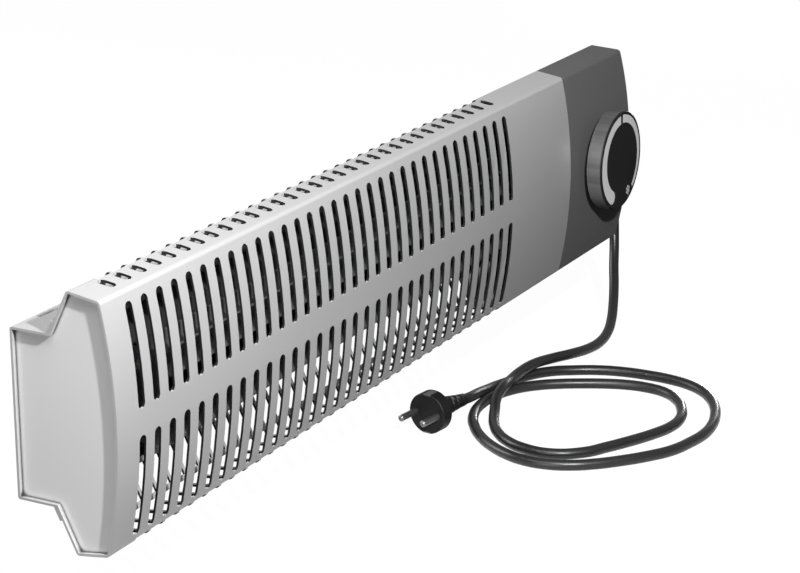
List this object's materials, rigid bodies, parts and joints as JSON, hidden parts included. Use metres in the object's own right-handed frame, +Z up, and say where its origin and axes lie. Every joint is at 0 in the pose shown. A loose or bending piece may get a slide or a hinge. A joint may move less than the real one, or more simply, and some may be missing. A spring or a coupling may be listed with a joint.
{
  "type": "frost protection heater",
  "caption": "Slotted wall-mounted frost heater with bowed sheet casing, finned tube element and a control housing with round thermostat knob, cord and plug.",
  "frame": {"origin": "middle of the wall contact face, at half the casing's length and half its height", "axes": "+X along the casing towards the control housing, +Y into the wall, -Y is the slotted front, +Z up"},
  "size_m": [0.7585, 0.2103, 0.2367],
  "materials": {
    "silver_sheet": "satin",
    "zinc_sheet": "satin",
    "steel": "satin",
    "tube_steel": "dark, heat-tinted",
    "fin_aluminium": "mill finish",
    "brass": "satin",
    "ceramic": "matt",
    "black_plastic": "satin",
    "grey_plastic": "satin",
    "copper": "satin",
    "knob_plastic": "satin",
    "scale_silver": "satin",
    "white_plastic": "matt",
    "brown_lead": "satin",
    "blue_lead": "satin",
    "green_lead": "satin",
    "black_rubber": "matt",
    "cord_pvc": "satin",
    "plug_pvc": "satin",
    "nickel": "bright"
  },
  "bodies": {
    "heater": {"front_cover": "silver_sheet", "rear_panel": "zinc_sheet", "left_end_plate": "silver_sheet", "partition_plate": "zinc_sheet", "casing_screws": "steel", "heat_shield": "zinc_sheet", "heating_tube": "tube_steel", "upper_fins": "fin_aluminium", "lower_fins": "fin_aluminium", "element_bracket": "zinc_sheet", "bracket_rivets": "steel", "element_bushes": "brass", "element_nuts": "brass", "terminal_insulators": "ceramic", "element_terminals": "steel", "thermal_cutout": "black_plastic", "cutout_tabs": "brass", "control_housing": "grey_plastic", "control_back_cover": "grey_plastic", "housing_screws": "steel", "back_cover_screws": "steel", "thermostat_bracket": "zinc_sheet", "bracket_screws": "steel", "thermostat_body": "ceramic", "thermostat_screws": "steel", "thermostat_tabs": "brass", "capillary_tube": "copper", "sensor_bulb": "copper", "bulb_clips": "black_plastic", "terminal_block": "white_plastic", "terminal_screws": "brass", "earth_stud": "brass", "earth_nut": "brass", "live_lead": "brown_lead", "neutral_lead": "blue_lead", "earth_lead": "green_lead", "thermostat_lead": "brown_lead", "cutout_lead": "brown_lead", "cord_cores": "brown_lead", "lead_grommet": "black_rubber", "cord_gland": "black_plastic", "cord_clamp": "black_plastic", "clamp_screws": "steel", "mains_cord": "cord_pvc", "plug_body": "plug_pvc", "plug_pins": "nickel", "plug_earth_clips": "nickel"},
    "dial": {"knob": "knob_plastic", "knob_face": "black_plastic", "knob_scale": "scale_silver", "knob_spring_clip": "steel", "spindle": "steel"},
    "plunger": {"adjusting_plunger": "brass"}
  },
  "joints": [
    {"name": "thermostat_dial", "type": "hinge", "parent": "heater", "child": "dial", "pos_m": [0.2955, -0.08, 0.002], "axis": [0, -1, 0], "range_deg": [-150, 150]},
    {"name": "plunger_feed", "type": "slide", "parent": "heater", "child": "plunger", "axis": [0, -1, 0], "range_m": [-0.0013, 0.0013]}
  ],
  "couplings": [
    {"joint": "plunger_feed", "follows": "thermostat_dial", "m_per_rad": 0.00047746}
  ]
}
